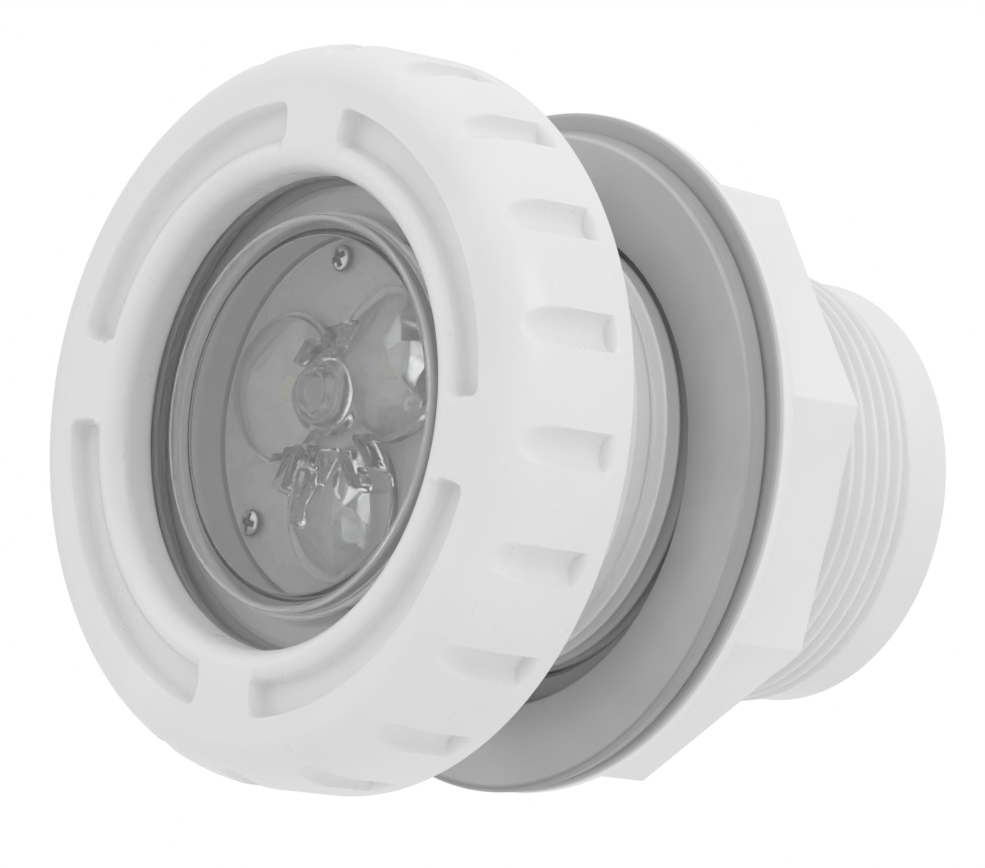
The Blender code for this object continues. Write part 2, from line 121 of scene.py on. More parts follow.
# Lamp unit
CLAMP_RADIUS = 37.4          # lens rim and housing rim
LENS_FACE = 5.0
LENS_STEP = 7.7
LENS_BACK = 9.6
LENS_STEP_RADIUS = 26.0
CUP_FRONT = 11.7
TAIL_RADIUS = 24.3
TAIL_BORE = 21.8
TAIL_END = 62.0
SCREW_TOP = PLATE_DEPTH - 1.2
SCREW_END = 20.2
SCREW_CIRCLE = 21.6
SCREW_ANGLES = (105.0, 225.0, 345.0)
LAMP_ANGLES = (45.0, 165.0, 285.0)
LOBE_CIRCLE = 11.4
LOBE_RADIUS = 10.2
LOBE_HEIGHT = 3.9
FACET_COUNTS = (11, 6, 13)   # for each lobe
FACET_SLOPES = (0.36, 0.14, 0.42)
BOSS_SPOT = (-1.2, 3.1)      # the optic's boss stands a little above the axis
# Round-ended bars on the optic: middle, direction in degrees, length, width
OPTIC_BARS = (
    ((-1.9, 11.6), 100.0, 6.6, 1.7), ((1.3, 10.9), 92.0, 4.2, 1.3), ((-5.6, 8.0), 60.0, 4.6, 1.6),
    ((-9.0, -8.4), 62.0, 6.8, 1.6), ((-6.6, -7.6), 68.0, 7.2, 1.6), ((-4.2, -7.0), 75.0, 7.0, 1.6),
    ((-1.8, -10.6), 88.0, 8.4, 2.6), ((1.6, -6.4), 100.0, 5.4, 1.5), ((9.2, -3.4), 140.0, 6.2, 1.6),
    ((6.6, -6.2), 130.0, 6.2, 1.6),
)
FIN_RADIUS = 21.2
FIN_PITCH = 3.6
FIN_WIDTH = 1.6
FIN_COUNT = 3
FIRST_FIN = 22.8
PARTS_HEIGHT = -5.1          # height that the parts on the driver board stand at

# Rear cap and gland
CAP_FACE = 67.5
HEXAGON_RADIUS = 10.0
GLAND_BORE = 3.6
GLAND_STEM_RADIUS = 7.0

# Camera: angles in degrees, distance and lens in millimetres
CAMERA_AZIMUTH = 48.0
CAMERA_ROLL = 9.07
CAMERA_DISTANCE = 835.04
CAMERA_LENS = 237.5
SENSOR_WIDTH = 36.0
AIM_RIGHT = 0.0290           # metres from the middle of the ring's face
AIM_DOWN = 0.00332
FLOOR_HEIGHT = -0.26         # metres, well below the light
FLOOR_RADIUS = 1.3

FILLET_STEP = 15.0           # most degrees of a fillet between two outline points
CLEAR_IOR = 1.49             # acrylic


# ---------------------------------------------------------------- outlines and meshes

def rounded_path(corners, closed=True):
    """Points of an outline whose corners are (radius, depth, fillet)."""
    points = []
    last = len(corners) - 1
    for i, (r, z, fillet) in enumerate(corners):
        corner = np.array((r, z), float)
        if fillet == 0 or (not closed and i in (0, last)):
            points.append(corner)
            continue
        before = np.array(corners[i - 1][:2], float) - corner
        after = np.array(corners[(i + 1) % len(corners)][:2], float) - corner
        room = 0.49 * min(np.linalg.norm(before), np.linalg.norm(after))
        before /= np.linalg.norm(before)
        after /= np.linalg.norm(after)
        opening = acos(float(np.clip(before @ after, -1, 1)))
        reach = min(fillet / tan(opening / 2), room)
        size = reach * tan(opening / 2)
        centre = corner + (before + after) / np.linalg.norm(before + after) * size / sin(opening / 2)
        start, end = corner + before * reach - centre, corner + after * reach - centre
        turn = np.arctan2(start[0] * end[1] - start[1] * end[0], start @ end)
        steps = max(2, ceil(abs(degrees(turn)) / FILLET_STEP))
        for k in range(steps + 1):
            a = turn * k / steps
            turned_x = start[0] * cos(a) - start[1] * sin(a)
            turned_y = start[0] * sin(a) + start[1] * cos(a)
            points.append(centre + (turned_x, turned_y))
    return np.array(points)


def ellipse_arc(centre, radii, start, end, steps):
    """Outline points without fillets along a part of an ellipse, angles in degrees."""
    angles = np.radians(np.linspace(start, end, steps + 1))
    return [(centre[0] + radii[0] * cos(a), centre[1] + radii[1] * sin(a), 0.0) for a in angles]


def refine(path, spacing, closed=True):
    """The same outline with points no further apart than spacing(radius, depth)."""
    ends = np.roll(path, -1, axis=0) if closed else path[1:]
    made = []
    for a, b in zip(path, ends):
        length = np.linalg.norm(b - a)
        t = 0.0
        while t < length - 1e-6:
            spot = a + (b - a) * t / max(length, 1e-9)
            made.append(spot)
            t += spacing(*spot)
    if not closed:
        made.append(path[-1])
    return np.array(made)


def even_angles(count):
    """Column angles of a whole turn, evenly spaced."""
    return np.arange(count) * 2 * pi / count


def grid_faces(rows, cols, close_rows):
    """Quads of a grid that wraps round its columns, and round its rows when close_rows is set."""
    r = np.arange(rows if close_rows else rows - 1)
    c = np.arange(cols)
    r0, c0 = np.meshgrid(r, c, indexing="ij")
    r1, c1 = (r0 + 1) % rows, (c0 + 1) % cols
    quads = np.stack([r0 * cols + c0, r0 * cols + c1, r1 * cols + c1, r1 * cols + c0], -1)
    return quads.reshape(-1, 4)


def finish_piece(name, points, faces, skin, body, replaces=(), sharp=40.0):
    """Makes the object, with faces outwards, smooth shading and weighted normals."""
    mesh = bpy.data.meshes.new(name)
    face_list = faces if isinstance(faces, list) else faces.tolist()
    mesh.from_pydata(np.asarray(points).tolist(), [], face_list)
    mesh.validate()
    if signed_volume(mesh) < 0:
        mesh.flip_normals()
    mesh.materials.append(skin)
    mesh.shade_smooth()
    mesh.set_sharp_from_angle(angle=radians(sharp))
    piece = bpy.data.objects.new(name, mesh)
    bpy.context.scene.collection.objects.link(piece)
    weighted = piece.modifiers.new("weighted_normals", "WEIGHTED_NORMAL")
    weighted.keep_sharp = True
    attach(piece, body)
    if replaces:
        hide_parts(*replaces)
    return piece


def signed_volume(mesh):
    """Six times the mesh's volume, below zero when its faces point inwards."""
    mesh.calc_loop_triangles()
    count = len(mesh.loop_triangles)
    corners = np.empty(count * 3, np.int64)
    mesh.loop_triangles.foreach_get("vertices", corners)
    spots = np.empty(len(mesh.vertices) * 3)
    mesh.vertices.foreach_get("co", spots)
    a, b, c = spots.reshape(-1, 3)[corners.reshape(-1, 3)].transpose(1, 0, 2)
    return float((a * np.cross(b, c)).sum())


def world_points(radius, depth, angle, centre=(0.0, 0.0)):
    """World coordinates of radius, depth and angle arrays, about an axis through centre (x, z)."""
    return np.stack([(radius * np.cos(angle) + centre[0]) * MM, FRONT_Y + depth * MM + 0 * angle,
                     (radius * np.sin(angle) + centre[1]) * MM], -1)


def turned_mesh(path, angles, shape=None, centre=(0.0, 0.0)):
    """Points and faces of an outline turned about the axis.

    shape(radius, depth, angle, normal) may return changed radius and depth arrays. An outline whose
    ends lie on the axis closes there with a fan; any other outline is closed on itself.
    """
    solid = path[0][0] == 0 and path[-1][0] == 0
    rows = path[1:-1] if solid else path
    ahead, behind = np.roll(path, -1, axis=0), np.roll(path, 1, axis=0)
    along = (ahead - behind)[1:-1] if solid else ahead - behind
    along = along / np.maximum(np.linalg.norm(along, axis=1, keepdims=True), 1e-9)
    normal = np.stack([along[:, 1], -along[:, 0]], -1)
    r = np.repeat(rows[:, :1], len(angles), axis=1)
    z = np.repeat(rows[:, 1:], len(angles), axis=1)
    a = np.repeat(angles[None, :], len(rows), axis=0)
    if shape is not None:
        r, z = shape(r, z, a, normal)
    points = world_points(r, z, a, centre).reshape(-1, 3)
    faces = grid_faces(len(rows), len(angles), not solid)
    if not solid:
        return points, faces
    return close_ends(points, faces, (path[0][1], path[-1][1]), len(angles), centre)


def close_ends(points, faces, depths, count, centre=(0.0, 0.0)):
    """Closes a tube of points, count to a row, with a fan at each end whose tip lies on its axis."""
    tips = world_points(np.zeros(2), np.array(depths), np.zeros(2), centre)
    front, back = len(points), len(points) + 1
    final = len(points) - count
    fans = [(front, (i + 1) % count, i) for i in range(count)]
    fans += [(back, final + i, final + (i + 1) % count) for i in range(count)]
    return np.concatenate([points, tips]), faces.tolist() + fans


def turned(name, corners, skin, body, replaces, cols, centre=(0.0, 0.0), closed=True):
    """A plain turned piece with cols columns."""
    path = rounded_path(corners, closed)
    points, faces = turned_mesh(path, even_angles(cols), None, centre)
    return finish_piece(name, points, faces, skin, body, replaces)


def smoothstep(low, high, value):
    """Rises smoothly from 0 at low to 1 at high."""
    t = np.clip((value - low) / (high - low), 0, 1)
    return t * t * (3 - 2 * t)


def smooth_max(a, b, width):
    """The larger of two arrays, blended where they are within width of each other."""
    h = np.clip(0.5 + 0.5 * (a - b) / width, 0, 1)
    return a * h + b * (1 - h) + width * h * (1 - h)


def spot_on(radius, angle):
    """The point (x, z) at a radius from the axis and an angle in degrees."""
    return radius * cos(radians(angle)), radius * sin(radians(angle))


# ---------------------------------------------------------------- materials

def new_material(name):
    """A new material, with its node tree and its Principled shader."""
    made = bpy.data.materials.new(name)
    made.use_nodes = True
    tree = made.node_tree
    return made, tree, tree.nodes["Principled BSDF"]


def noise(tree, scale, detail=3.0, stretch=(1.0, 1.0, 1.0)):
    """A noise texture in the piece's own space; scale is in cycles per metre."""
    place = tree.nodes.new("ShaderNodeTexCoord")
    mapping = tree.nodes.new("ShaderNodeMapping")
    mapping.inputs["Scale"].default_value = stretch
    texture = tree.nodes.new("ShaderNodeTexNoise")
    texture.inputs["Scale"].default_value = scale
    texture.inputs["Detail"].default_value = detail
    tree.links.new(place.outputs["Object"], mapping.inputs["Vector"])
    tree.links.new(mapping.outputs["Vector"], texture.inputs["Vector"])
    return texture.outputs["Fac"]


def spread(tree, source, low, high):
    """Maps a 0 to 1 texture onto the range low to high."""
    node = tree.nodes.new("ShaderNodeMapRange")
    node.inputs["From Min"].default_value = 0.3
    node.inputs["From Max"].default_value = 0.7
    node.inputs["To Min"].default_value = low
    node.inputs["To Max"].default_value = high
    tree.links.new(source, node.inputs["Value"])
    return node.outputs["Result"]


def tint(tree, source, dark, light):
    """Colour between dark and light, by a 0 to 1 texture."""
    node = tree.nodes.new("ShaderNodeMix")
    node.data_type = "RGBA"
    node.inputs["A"].default_value = (*dark, 1.0)
    node.inputs["B"].default_value = (*light, 1.0)
    tree.links.new(spread(tree, source, 0.0, 1.0), node.inputs["Factor"])
    return node.outputs["Result"]


def bump(tree, shader, source, strength, distance):
    """Fine relief from a 0 to 1 texture; distance is its height in metres."""
    node = tree.nodes.new("ShaderNodeBump")
    node.inputs["Strength"].default_value = strength
    node.inputs["Distance"].default_value = distance
    tree.links.new(source, node.inputs["Height"])
    tree.links.new(node.outputs["Normal"], shader.inputs["Normal"])


def moulded_plastic(name, dark, light, roughness):
    """Injection-moulded plastic: faint cloudiness, uneven gloss and a very fine surface grain."""
    made, tree, shader = new_material(name)
    tree.links.new(tint(tree, noise(tree, 55.0), dark, light), shader.inputs["Base Color"])
    tree.links.new(spread(tree, noise(tree, 240.0, 4.0), *roughness), shader.inputs["Roughness"])
    bump(tree, shader, noise(tree, 2600.0, 2.0), 0.35, 0.000012)
    return made


def radial_tone(tree, bands, centre_drop=0.0):
    """Brightness by distance from the light's axis, from bands of (radius in mm, brightness)."""
    place = tree.nodes.new("ShaderNodeTexCoord")
    shift = tree.nodes.new("ShaderNodeVectorMath")
    shift.operation = "MULTIPLY_ADD"
    shift.inputs[1].default_value = (1.0, 0.0, 1.0)
    shift.inputs[2].default_value = (0.0, 0.0, centre_drop * MM)
    length = tree.nodes.new("ShaderNodeVectorMath")
    length.operation = "LENGTH"
    tree.links.new(place.outputs["Object"], shift.inputs[0])
    tree.links.new(shift.outputs["Vector"], length.inputs[0])
    return ramp(tree, length.outputs["Value"], [(radius * MM, tone) for radius, tone in bands])


def depth_tone(tree, bands):
    """Brightness by depth behind the front of the light, from bands of (depth in mm, brightness)."""
    place = tree.nodes.new("ShaderNodeTexCoord")
    split = tree.nodes.new("ShaderNodeSeparateXYZ")
    tree.links.new(place.outputs["Object"], split.inputs["Vector"])
    return ramp(tree, split.outputs["Y"], [(FRONT_Y + depth * MM, tone) for depth, tone in bands])


def ramp(tree, source, stops):
    """Grey colour ramp over a value, from stops of (value, brightness)."""
    low, high = stops[0][0], stops[-1][0]
    fit = tree.nodes.new("ShaderNodeMapRange")
    fit.inputs["From Min"].default_value = low
    fit.inputs["From Max"].default_value = high
    tree.links.new(source, fit.inputs["Value"])
    node = tree.nodes.new("ShaderNodeValToRGB")
    elements = node.color_ramp.elements
    elements[0].color = (*grey(stops[0][1]), 1.0)
    elements[1].color = (*grey(stops[-1][1]), 1.0)
    for value, tone in stops[1:-1]:
        elements.new((value - low) / (high - low)).color = (*grey(tone), 1.0)
    tree.links.new(fit.outputs["Result"], node.inputs["Fac"])
    return node.outputs["Color"]


def shade_by(made, tone_of, *details):
    """Multiplies a material's colour by a tone that tone_of makes in its node tree."""
    tree = made.node_tree
    shader = tree.nodes["Principled BSDF"]
    colour = shader.inputs["Base Color"].links[0].from_socket
    node = tree.nodes.new("ShaderNodeMix")
    node.data_type = "RGBA"
    node.blend_type = "MULTIPLY"
    node.inputs["Factor"].default_value = 1.0
    tree.links.new(colour, node.inputs["A"])
    tree.links.new(tone_of(tree, *details), node.inputs["B"])
    tree.links.new(node.outputs["Result"], shader.inputs["Base Color"])
    return made


def rubber(name, dark, light, roughness):
    """Soft rubber with mottled colour and a slightly wavy skin."""
    made, tree, shader = new_material(name)
    tree.links.new(tint(tree, noise(tree, 90.0, 5.0), dark, light), shader.inputs["Base Color"])
    tree.links.new(spread(tree, noise(tree, 320.0, 3.0), *roughness), shader.inputs["Roughness"])
    bump(tree, shader, noise(tree, 380.0, 3.0), 0.3, 0.00004)
    return made


def clear_plastic(name, tone, clarity, bands=None):
    """Polished clear plastic with faint haze in its gloss, cloudier where bands of radius say so."""
    made, tree, shader = new_material(name)
    shader.inputs["Transmission Weight"].default_value = clarity
    if bands:
        tree.links.new(radial_tone(tree, bands), shader.inputs["Transmission Weight"])
    shader.inputs["IOR"].default_value = CLEAR_IOR
    shader.inputs["Base Color"].default_value = (*tone, 1.0)
    tree.links.new(spread(tree, noise(tree, 400.0, 3.0), 0.0, 0.03), shader.inputs["Roughness"])
    return made


def metal(name, dark, light, roughness, stretch=(1.0, 1.0, 1.0)):
    """Bare metal with cloudy gloss and fine marks, drawn out along an axis by stretch."""
    made, tree, shader = new_material(name)
    shader.inputs["Metallic"].default_value = 1.0
    tree.links.new(tint(tree, noise(tree, 300.0, 4.0, stretch), dark, light), shader.inputs["Base Color"])
    tree.links.new(spread(tree, noise(tree, 900.0, 3.0, stretch), *roughness), shader.inputs["Roughness"])
    bump(tree, shader, noise(tree, 2200.0, 2.0, stretch), 0.25, 0.00001)
    return made


def grey(value):
    """The colour that is equally bright in red, green and blue."""
    return (value, value, value)


# Bands of (depth, brightness), all painted shade: the fitting is painted darker between the ring and the
# nut's gasket and under the gasket and the nut, the nut's front rim is painted darker where it meets the
# gasket, and a screw is painted dark in its recess and below its head.
FITTING_SHADE_BANDS = ((24.0, 1.0), (33.0, 0.93), (38.8, 0.88), (39.6, 0.82), (42.0, 1.0), (44.6, 0.85),
              (60.0, 0.85), (66.0, 1.0))
NUT_RIM_SHADE_BANDS = ((NUT_FRONT, 0.62), (NUT_FRONT + 0.5, 0.70), (NUT_FRONT + 0.9, 1.0), (NUT_END, 1.0))
SCREW_RECESS_SHADE_BANDS = ((SCREW_TOP, 1.0), (SCREW_TOP + 0.35, 1.0), (SCREW_TOP + 0.55, 0.12), (SCREW_END, 0.12))
# Bands of (radius, brightness), both painted shade: the nut's gasket is painted darker at both edges, by the
# barrel and where it meets the nut, and the housing is painted darker in its cup than on its clamped face.
GASKET_EDGE_SHADE_BANDS = ((31.0, 0.62), (34.0, 0.82), (39.0, 1.0), (43.4, 1.0), (43.9, 0.62), (44.6, 0.55))
HOUSING_CUP_SHADE_BANDS = ((23.0, 0.58), (26.4, 0.58), (27.6, 1.0), (37.6, 1.0))
# Bands of (radius, clearness): the lens is made cloudier on its step and where it is clamped, as painted
# light that stands in for the light carried round inside its rim.
LENS_PAINTED_GLOW_BANDS = ((25.0, 0.985), (25.7, 0.50), (26.2, 0.50), (26.8, 0.97), (30.8, 0.97), (31.6, 0.55),
              (37.6, 0.55))

WHITE_RING = moulded_plastic("white_ring_plastic", grey(0.78), grey(0.81), (0.26, 0.36))
# The fitting's colour is multiplied by painted shade bands along its depth.
WHITE_FITTING = shade_by(moulded_plastic("white_fitting_plastic", grey(0.77), grey(0.81), (0.32, 0.44)),
                         depth_tone, FITTING_SHADE_BANDS)
# The nut's front rim is painted darker where it meets the gasket: painted shade.
WHITE_NUT = shade_by(moulded_plastic("white_nut_plastic", grey(0.80), grey(0.83), (0.30, 0.40)),
                     depth_tone, NUT_RIM_SHADE_BANDS)
WASHER_WHITE = moulded_plastic("washer_plastic", grey(0.72), grey(0.78), (0.4, 0.5))
# The housing is painted darker inside its cup than on its clamped face: painted shade.
HOUSING_GREY = shade_by(moulded_plastic("housing_plastic", grey(0.72), grey(0.78), (0.30, 0.42)),
                        radial_tone, HOUSING_CUP_SHADE_BANDS)
GLAND_GREY = moulded_plastic("gland_nylon", grey(0.30), grey(0.36), (0.42, 0.55))
PLATE_SATIN = moulded_plastic("plate_satin", grey(0.52), grey(0.58), (0.22, 0.32))
GASKET_GREY = rubber("gasket_silicone", grey(0.33), grey(0.37), (0.34, 0.46))
# The gasket's colour is multiplied by painted shade bands at its inner and outer edges.
NUT_GASKET = shade_by(rubber("nut_gasket_silicone", grey(0.56), grey(0.62), (0.3, 0.42)),
                      radial_tone, GASKET_EDGE_SHADE_BANDS, GASKET_DROP)
SEAL_DARK = rubber("seal_rubber", grey(0.05), grey(0.08), (0.45, 0.6))
SEAL_GREY = rubber("lens_seal_rubber", grey(0.66), grey(0.72), (0.45, 0.6))
# The lens is made cloudy on its step and rim as painted light.
LENS_CLEAR = clear_plastic("lens_polycarbonate", (0.98, 0.985, 0.99), 0.985, LENS_PAINTED_GLOW_BANDS)
OPTIC_CLEAR = clear_plastic("optic_acrylic", grey(0.985), 0.94)
# The screw is painted dark in its cross recess and below its head: painted shade.
SCREW_STEEL = shade_by(metal("screw_steel", grey(0.62), grey(0.70), (0.24, 0.34)),
                       depth_tone, SCREW_RECESS_SHADE_BANDS)
ALUMINIUM = metal("sink_aluminium", grey(0.66), grey(0.76), (0.3, 0.45), (1.0, 12.0, 1.0))
COPPER = metal("coil_copper", (0.50, 0.24, 0.10), (0.62, 0.31, 0.14), (0.25, 0.4))
PHOSPHOR = moulded_plastic("lamp_phosphor", (0.66, 0.62, 0.46), (0.72, 0.68, 0.52), (0.25, 0.35))
BOARD_WHITE = moulded_plastic("solder_mask_white", grey(0.72), grey(0.78), (0.3, 0.42))
BOARD_GREEN = moulded_plastic("solder_mask_green", (0.03, 0.19, 0.09), (0.05, 0.24, 0.12), (0.32, 0.45))
CHIP_BLACK = moulded_plastic("chip_epoxy", grey(0.02), grey(0.04), (0.45, 0.6))
CAN_BLUE = moulded_plastic("can_sleeve", (0.05, 0.09, 0.24), (0.08, 0.13, 0.30), (0.25, 0.35))


# ---------------------------------------------------------------- face ring

def ring_angles():
    """Column angles, closer together across each flute."""
    pitch = 360.0 / FLUTE_COUNT
    inside = np.linspace(-FLUTE_HALF_ANGLE, FLUTE_HALF_ANGLE, 35)[:-1]
    outside = np.linspace(FLUTE_HALF_ANGLE, pitch - FLUTE_HALF_ANGLE, 27)[:-1]
    one = np.radians(np.concatenate([inside, outside]))
    return np.concatenate([one + radians(FLUTE_TURN + pitch * k) for k in range(FLUTE_COUNT)])


def ring_spacing(r, z):
    """Row spacing: fine at the pocket walls, the shoulder and the flute ends."""
    near_wall = min(abs(r - POCKET_INNER - 0.4), abs(r - POCKET_OUTER + 0.4)) < 0.8
    if z < 0.01 and near_wall:
        return 0.1
    if z < 0.01 and POCKET_INNER < r < POCKET_OUTER:
        return 0.6
    if r > 48.0 and FLUTE_END - 0.3 < z < FLUTE_END + 1.3:
        return 0.07
    return 0.5 if r > 40.0 and z < FLUTE_END else 1.4


def pocket_depth(r, angle):
    """How deep the four arc pockets are at a point of the face."""
    middle = (POCKET_INNER + POCKET_OUTER) / 2
    half_width = (POCKET_OUTER - POCKET_INNER) / 2
    half_length = middle * radians(POCKET_SPAN / 2)
    from_middle = (angle - radians(FIRST_POCKET) + pi / 4) % (pi / 2) - pi / 4
    across = np.abs(r - middle) - half_width + POCKET_CORNER
    along = np.abs(from_middle) * middle - half_length + POCKET_CORNER
    outside = np.hypot(np.maximum(across, 0), np.maximum(along, 0))
    distance = outside + np.minimum(np.maximum(across, along), 0) - POCKET_CORNER
    return POCKET_DEPTH * smoothstep(-0.12, 0.62, -distance)


def flute_cut(r, z, angle, outward):
    """How far the finger flutes cut in along the surface's normal."""
    pitch = 2 * pi / FLUTE_COUNT
    off = (angle - radians(FLUTE_TURN) + pitch / 2) % pitch - pitch / 2
    inside = FLUTE_RADIUS ** 2 - (FLUTE_CENTRE * np.sin(off)) ** 2
    floor = FLUTE_CENTRE * np.cos(off) - np.sqrt(np.maximum(inside, 0))
    beyond = np.where(inside > 0, 0.0, 3.0)
    cut = smooth_max((r - floor - beyond) / np.maximum(outward, 0.45), 0.0 * r, 0.5)
    rise = 1 - np.clip((z - FLUTE_END) / 1.1, 0, 1)
    return cut * (1 - np.sqrt(1 - rise ** 2))


def shape_ring(r, z, angle, normal):
    """Sinks the pockets into the face and cuts the flutes into the shoulder and the side."""
    outward = normal[:, :1]
    on_face = (z < 0.01) & (r > FACE_INNER - 0.1) & (r < FACE_OUTER + 0.1)
    sunk = np.where(on_face, pocket_depth(r, angle), 0.0)
    on_grip = (r > FACE_OUTER + 0.5) & (outward > 0.05) & (z < RING_LENGTH - 0.8)
    cut = np.where(on_grip, flute_cut(r, z, angle, outward), 0.0)
    return r - cut * outward, z + sunk - cut * normal[:, 1:]


def make_face_ring():
    """The lip and the shoulder are quarter ellipses on either side of the flat face."""
    lip = ellipse_arc((FACE_INNER, 3.0), (2.6, 3.0), 180, 270, 14)
    shoulder = ellipse_arc((FACE_OUTER, 9.0), (5.5, 9.0), 270, 360, 40)
    rest = [(RING_RADIUS, RING_LENGTH, 0.6), (43.3, RING_LENGTH, 0.3), (43.3, 16.8, 0.2), (41.4, 16.8, 0.2),
            (41.4, 6.5, 0.4), (31.0, 6.5, 0.3)]
    path = refine(rounded_path(lip + shoulder + rest), ring_spacing)
    points, faces = turned_mesh(path, ring_angles(), shape_ring)
    finish_piece("face_ring", points, faces, WHITE_RING, "face_ring", ("trim_ring",), 60.0)


def make_slip_washer():
    """Thin ring that the face ring turns on."""
    corners = [(32.0, 6.8, 0.15), (37.3, 6.8, 0.15), (37.3, 7.4, 0.15), (32.0, 7.4, 0.15)]
    turned("face_slip_washer", corners, WASHER_WHITE, "ring_clamp", ("slip_washer",), 200)


# ---------------------------------------------------------------- wall fitting, gaskets and nut

def thread_radius(z, angle, start, end):
    """Radius of the barrel's 2-inch pipe thread, with soft crests, fading out at both ends."""
    place = (z / THREAD_PITCH - angle / (2 * pi)) % 1.0
    wave = 1 - np.abs(2 * place - 1)
    ridge = smoothstep(0.1, 0.9, wave)
    full = smoothstep(start, start + 1.6, z) * (1 - smoothstep(end - 0.9, end + 0.2, z))
    return PLAIN_RADIUS + (THREAD_ROOT + (THREAD_CREST - THREAD_ROOT) * ridge - PLAIN_RADIUS) * full


def make_wall_fitting():
    """Rim, flange, stepped hub and threaded barrel with a plain end, as one moulding."""
    corners = [(38.0, 8.2, 0.4), (RIM_RADIUS, 8.2, 0.5), (RIM_RADIUS, FLANGE_FRONT, 0.2),
               (FLANGE_RADIUS, FLANGE_FRONT, 0.3), (FLANGE_RADIUS, FLANGE_BACK, 0.5),
               (HUB_RADIUS, FLANGE_BACK, 0.3), (HUB_RADIUS, HUB_END, 0.4), (COLLAR_RADIUS, HUB_END, 0.3),
               (COLLAR_RADIUS, COLLAR_END, 0.25), (PLAIN_RADIUS, COLLAR_END + 0.1, 0.2),
               (PLAIN_RADIUS, OVERALL_LENGTH, 0.7), (BARREL_BORE, OVERALL_LENGTH, 0.7),
               (BARREL_BORE, SEAT_BACK, 0.2), (SEAT_BORE, SEAT_BACK, 0.2), (SEAT_BORE, SEAT_FRONT, 0.2),
               (38.0, SEAT_FRONT, 0.3)]

    def spacing(r, z):
        on_thread = abs(r - PLAIN_RADIUS) < 0.01 and COLLAR_END - 0.5 < z < THREAD_END + 0.5
        return 0.17 if on_thread else 3.0

    def shape(r, z, angle, normal):
        on_barrel = np.abs(r - PLAIN_RADIUS) < 0.01
        return np.where(on_barrel, thread_radius(z, angle, COLLAR_END, THREAD_END), r), z

    path = refine(rounded_path(corners), spacing)
    points, faces = turned_mesh(path, even_angles(240), shape)
    finish_piece("threaded_fitting", points, faces, WHITE_FITTING, "light_body",
                 ("wall_fitting", "fitting_barrel", "barrel_thread"), 50.0)


def make_flange_gasket():
    """Soft ring between the flange and the wet face of the pool wall."""
    corners = [(34.2, 21.5, 0.4), (FLANGE_RADIUS, 21.5, 0.9), (FLANGE_RADIUS, 24.5, 0.9), (34.2, 24.5, 0.4)]
    turned("flange_gasket", corners, GASKET_GREY, "light_body", ("front_gasket",), 240)


def make_nut_gasket():
    """Loose soft ring behind the wall: its free front edge sags more than the edge at the nut."""
    front, back, rim = GASKET_FRONT, GASKET_BACK, GASKET_RADIUS
    corners = [(GASKET_BORE, front, 0.3), (GASKET_BORE + 1.0, front, 0.0), (rim - 0.5, front, 0.45),
               (rim, front + 0.6, 0.4), (rim, back - 0.7, 0.6), (rim - 0.8, back, 0.5),
               (GASKET_BORE, back, 0.3)]
    path = refine(rounded_path(corners), lambda r, z: 1.0)
    points, faces = turned_mesh(path, even_angles(280))
    from_middle = (points[:, 1] - FRONT_Y) / MM - (front + back) / 2
    points[:, 2] -= (GASKET_DROP - 2 * GASKET_SAG * from_middle / (back - front)) * MM
    finish_piece("nut_gasket", points, faces, NUT_GASKET, "gasket_slider", ("rear_gasket",))


def polygon_radius(angle, sides, corner_radius, phase, fillet):
    """Outline of a regular polygon with small rounded corners."""
    half_side = pi / sides
    flat = corner_radius * cos(half_side)
    from_corner = (angle - radians(phase) + half_side) % (2 * half_side) - half_side
    from_flat = half_side - np.abs(from_corner)
    hub = (flat - fillet) / cos(half_side)
    tangent = atan((flat - fillet) * tan(half_side) / flat)
    inside = fillet ** 2 - (hub * np.sin(from_corner)) ** 2
    arc = hub * np.cos(from_corner) + np.sqrt(np.maximum(inside, 0))
    return np.where(from_flat < tangent, flat / np.cos(from_flat), arc)


def polygon_angles(sides, phase, near=2.2, far_count=45):
    """Column angles, closer together at the corners."""
    pitch = 360.0 / sides
    corner = np.linspace(-near, near, 17)[:-1]
    flat = np.linspace(near, pitch - near, far_count)[:-1]
    one = np.concatenate([corner, flat])
    return np.radians(np.concatenate([one + phase + pitch * k for k in range(sides)]))


def polygon_piece(name, corners, inner, side, outline, angles, spacing, look, replaces):
    """A turned outline whose outer wall, at radius side, follows outline(depth, angle)."""
    skin, body, slot = look

    def shape(r, z, angle, normal):
        pushed = inner + (r - inner) * (outline(z, angle) - inner) / (side - inner)
        return np.where(r > inner, pushed, r), z

    path = refine(rounded_path(corners), spacing)
    points, faces = turned_mesh(path, angles, shape)
    return finish_piece(name, points, faces, skin, body, replaces, 32.0)


def edge_round(z, front, end, radius):
    """How much a rounded edge of this radius takes off near the front and end faces."""
    inside = np.maximum(np.maximum(front + radius - z, z - end + radius), 0)
    return radius - np.sqrt(np.maximum(radius ** 2 - inside ** 2, 0))


